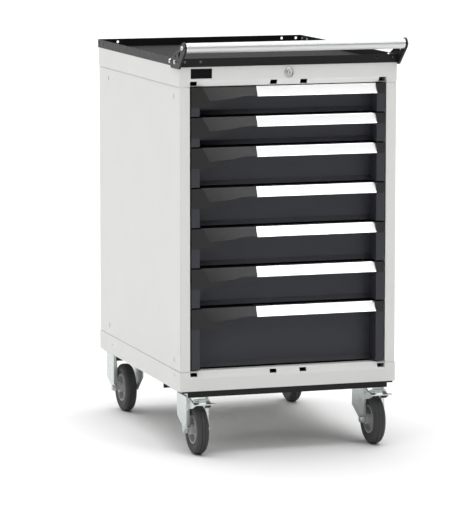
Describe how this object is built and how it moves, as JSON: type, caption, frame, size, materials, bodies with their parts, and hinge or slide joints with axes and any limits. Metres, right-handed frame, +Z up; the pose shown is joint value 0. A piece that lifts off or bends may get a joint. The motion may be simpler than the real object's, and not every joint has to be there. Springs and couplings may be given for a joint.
{
  "type": "mobile drawer cabinet",
  "caption": "Steel drawer cabinet on castors: telescopic drawers with full-width grips, central lock, rimmed top tray and push handle.",
  "frame": {"origin": "on the floor, in the middle of the overall length and width", "axes": "+X to the right as seen from the drawers, +Y to the back, +Z up"},
  "size_m": [0.584, 0.7954, 1.0245],
  "materials": {
    "body_paint": "fine-textured light grey powder coat",
    "runner_steel": "galvanised sheet",
    "drawer_paint": "fine-textured anthracite powder coat",
    "handle_aluminium": "satin anodised profile with a label strip",
    "cap_plastic": "fine-grained moulding",
    "lock_chrome": "polished",
    "black_paint": "satin black powder coat",
    "tube_silver": "satin anodised",
    "bright_zinc": "bright zinc plate",
    "castor_zinc": "pressed steel, bright zinc plate",
    "tyre_rubber": "smooth solid rubber",
    "hub_plastic": "moulded, dark grey"
  },
  "bodies": {
    "cabinet": {"side_panel_left": "body_paint", "side_panel_right": "body_paint", "back_panel": "body_paint", "top_cap": "body_paint", "base_plinth": "body_paint", "cabinet_rails": "runner_steel", "rail_uprights": "runner_steel", "lock_housing": "lock_chrome", "top_tray": "black_paint", "handle_brackets": "black_paint", "push_handle": "tube_silver", "handle_end_plugs": "bright_zinc", "handle_bolts": "bright_zinc", "base_channels": "black_paint", "castor_plates": "castor_zinc", "fixed_forks": "castor_zinc", "castor_fasteners": "bright_zinc"},
    "drawer_1": {"drawer_1_tub": "drawer_paint", "drawer_1_handle": "handle_aluminium", "drawer_1_end_caps": "cap_plastic"},
    "runner_1": {"drawer_1_middle_rails": "runner_steel"},
    "drawer_2": {"drawer_2_tub": "drawer_paint", "drawer_2_handle": "handle_aluminium", "drawer_2_end_caps": "cap_plastic"},
    "runner_2": {"drawer_2_middle_rails": "runner_steel"},
    "drawer_3": {"drawer_3_tub": "drawer_paint", "drawer_3_handle": "handle_aluminium", "drawer_3_end_caps": "cap_plastic"},
    "runner_3": {"drawer_3_middle_rails": "runner_steel"},
    "drawer_4": {"drawer_4_tub": "drawer_paint", "drawer_4_handle": "handle_aluminium", "drawer_4_end_caps": "cap_plastic"},
    "runner_4": {"drawer_4_middle_rails": "runner_steel"},
    "drawer_5": {"drawer_5_tub": "drawer_paint", "drawer_5_handle": "handle_aluminium", "drawer_5_end_caps": "cap_plastic"},
    "runner_5": {"drawer_5_middle_rails": "runner_steel"},
    "drawer_6": {"drawer_6_tub": "drawer_paint", "drawer_6_handle": "handle_aluminium", "drawer_6_end_caps": "cap_plastic"},
    "runner_6": {"drawer_6_middle_rails": "runner_steel"},
    "drawer_7": {"drawer_7_tub": "drawer_paint", "drawer_7_handle": "handle_aluminium", "drawer_7_end_caps": "cap_plastic"},
    "runner_7": {"drawer_7_middle_rails": "runner_steel"},
    "lock_barrel": {"lock_barrel": "lock_chrome"},
    "lock_bar": {"lock_bar": "runner_steel"},
    "front_fork_left": {"swivel_fork_left": "castor_zinc"},
    "brake_pedal_left": {"brake_pedal_left": "castor_zinc"},
    "wheel_front_left": {"tyre_front_left": "tyre_rubber", "hub_front_left": "hub_plastic"},
    "wheel_rear_left": {"tyre_rear_left": "tyre_rubber", "hub_rear_left": "hub_plastic"},
    "front_fork_right": {"swivel_fork_right": "castor_zinc"},
    "brake_pedal_right": {"brake_pedal_right": "castor_zinc"},
    "wheel_front_right": {"tyre_front_right": "tyre_rubber", "hub_front_right": "hub_plastic"},
    "wheel_rear_right": {"tyre_rear_right": "tyre_rubber", "hub_rear_right": "hub_plastic"}
  },
  "joints": [
    {"name": "drawer_1_slide", "type": "slide", "parent": "cabinet", "child": "drawer_1", "axis": [0, -1, 0], "range_m": [0, 0.6]},
    {"name": "runner_1_slide", "type": "slide", "parent": "cabinet", "child": "runner_1", "axis": [0, -1, 0], "range_m": [0, 0.3]},
    {"name": "drawer_2_slide", "type": "slide", "parent": "cabinet", "child": "drawer_2", "axis": [0, -1, 0], "range_m": [0, 0.6]},
    {"name": "runner_2_slide", "type": "slide", "parent": "cabinet", "child": "runner_2", "axis": [0, -1, 0], "range_m": [0, 0.3]},
    {"name": "drawer_3_slide", "type": "slide", "parent": "cabinet", "child": "drawer_3", "axis": [0, -1, 0], "range_m": [0, 0.6]},
    {"name": "runner_3_slide", "type": "slide", "parent": "cabinet", "child": "runner_3", "axis": [0, -1, 0], "range_m": [0, 0.3]},
    {"name": "drawer_4_slide", "type": "slide", "parent": "cabinet", "child": "drawer_4", "axis": [0, -1, 0], "range_m": [0, 0.6]},
    {"name": "runner_4_slide", "type": "slide", "parent": "cabinet", "child": "runner_4", "axis": [0, -1, 0], "range_m": [0, 0.3]},
    {"name": "drawer_5_slide", "type": "slide", "parent": "cabinet", "child": "drawer_5", "axis": [0, -1, 0], "range_m": [0, 0.6]},
    {"name": "runner_5_slide", "type": "slide", "parent": "cabinet", "child": "runner_5", "axis": [0, -1, 0], "range_m": [0, 0.3]},
    {"name": "drawer_6_slide", "type": "slide", "parent": "cabinet", "child": "drawer_6", "axis": [0, -1, 0], "range_m": [0, 0.6]},
    {"name": "runner_6_slide", "type": "slide", "parent": "cabinet", "child": "runner_6", "axis": [0, -1, 0], "range_m": [0, 0.3]},
    {"name": "drawer_7_slide", "type": "slide", "parent": "cabinet", "child": "drawer_7", "axis": [0, -1, 0], "range_m": [0, 0.6]},
    {"name": "runner_7_slide", "type": "slide", "parent": "cabinet", "child": "runner_7", "axis": [0, -1, 0], "range_m": [0, 0.3]},
    {"name": "lock_turn", "type": "hinge", "parent": "cabinet", "child": "lock_barrel", "pos_m": [0, -0.33425, 0.9414], "axis": [0, -1, 0], "range_deg": [0, 90]},
    {"name": "lock_bar_slide", "type": "slide", "parent": "cabinet", "child": "lock_bar", "axis": [0, 0, 1], "range_m": [0, 0.01131]},
    {"name": "swivel_left", "type": "hinge", "parent": "cabinet", "child": "front_fork_left", "pos_m": [-0.2315, -0.28225, 0.1445], "axis": [0, 0, 1], "continuous": true},
    {"name": "brake_press_left", "type": "hinge", "parent": "front_fork_left", "child": "brake_pedal_left", "pos_m": [-0.2315, -0.32425, 0.1315], "axis": [1, 0, 0], "range_deg": [0, 12]},
    {"name": "roll_front_left", "type": "hinge", "parent": "front_fork_left", "child": "wheel_front_left", "pos_m": [-0.2315, -0.31225, 0.0625], "axis": [1, 0, 0], "continuous": true},
    {"name": "roll_rear_left", "type": "hinge", "parent": "cabinet", "child": "wheel_rear_left", "pos_m": [-0.2315, 0.32175, 0.0625], "axis": [1, 0, 0], "continuous": true},
    {"name": "swivel_right", "type": "hinge", "parent": "cabinet", "child": "front_fork_right", "pos_m": [0.2315, -0.28225, 0.1445], "axis": [0, 0, 1], "continuous": true},
    {"name": "brake_press_right", "type": "hinge", "parent": "front_fork_right", "child": "brake_pedal_right", "pos_m": [0.2315, -0.32425, 0.1315], "axis": [1, 0, 0], "range_deg": [0, 12]},
    {"name": "roll_front_right", "type": "hinge", "parent": "front_fork_right", "child": "wheel_front_right", "pos_m": [0.2315, -0.31225, 0.0625], "axis": [1, 0, 0], "continuous": true},
    {"name": "roll_rear_right", "type": "hinge", "parent": "cabinet", "child": "wheel_rear_right", "pos_m": [0.2315, 0.32175, 0.0625], "axis": [1, 0, 0], "continuous": true}
  ],
  "couplings": [
    {"joint": "runner_1_slide", "follows": "drawer_1_slide", "ratio": 0.5},
    {"joint": "runner_2_slide", "follows": "drawer_2_slide", "ratio": 0.5},
    {"joint": "runner_3_slide", "follows": "drawer_3_slide", "ratio": 0.5},
    {"joint": "runner_4_slide", "follows": "drawer_4_slide", "ratio": 0.5},
    {"joint": "runner_5_slide", "follows": "drawer_5_slide", "ratio": 0.5},
    {"joint": "runner_6_slide", "follows": "drawer_6_slide", "ratio": 0.5},
    {"joint": "runner_7_slide", "follows": "drawer_7_slide", "ratio": 0.5},
    {"joint": "lock_turn", "follows": "lock_bar_slide", "rad_per_m": 138.84}
  ]
}
